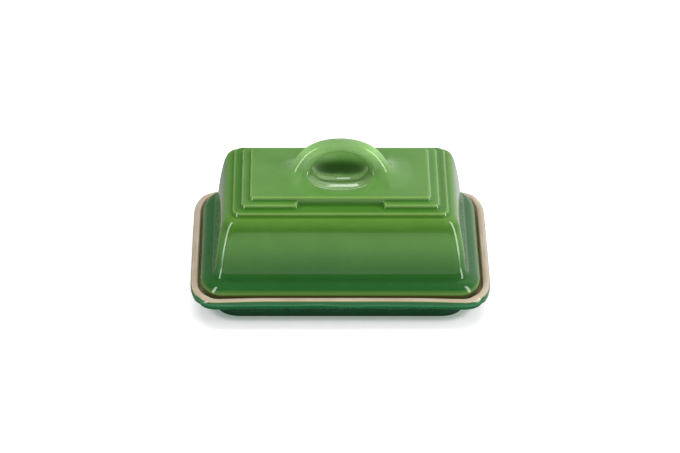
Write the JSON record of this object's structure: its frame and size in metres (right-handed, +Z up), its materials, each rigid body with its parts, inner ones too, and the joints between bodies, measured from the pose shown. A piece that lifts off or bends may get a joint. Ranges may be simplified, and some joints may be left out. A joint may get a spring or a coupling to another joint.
{
  "type": "butter dish",
  "caption": "Rectangular glazed stoneware butter dish with a rimmed footed base and a deep covering lid with stepped top, finger scoop and loop handle.",
  "frame": {"origin": "centre of the foot's underside, on the table", "axes": "+X along the length and the handle's span, -Y towards the side with the notch in the middle step, +Z up, the way the lid lifts"},
  "size_m": [0.171, 0.1272, 0.0876],
  "materials": {
    "bare_stoneware": "matte unglazed biscuit",
    "green_glaze_light": "gloss glaze, yellow-green on top fading to deep cool green below",
    "green_glaze_deep": "gloss glaze, deep cool green",
    "sand_glaze": "gloss glaze, warm sand"
  },
  "bodies": {
    "dish": {"dish_body": "bare_stoneware", "dish_outer_glaze": "green_glaze_deep", "dish_inner_glaze": "sand_glaze"},
    "lid": {"lid_body": "bare_stoneware", "lid_handle": "green_glaze_light", "lid_outer_glaze": "green_glaze_light", "lid_inner_glaze": "sand_glaze"}
  },
  "joints": [
    {"name": "lid_lift", "type": "slide", "parent": "dish", "child": "lid", "axis": [0, 0, 1], "range_m": [0, 0.12]}
  ]
}
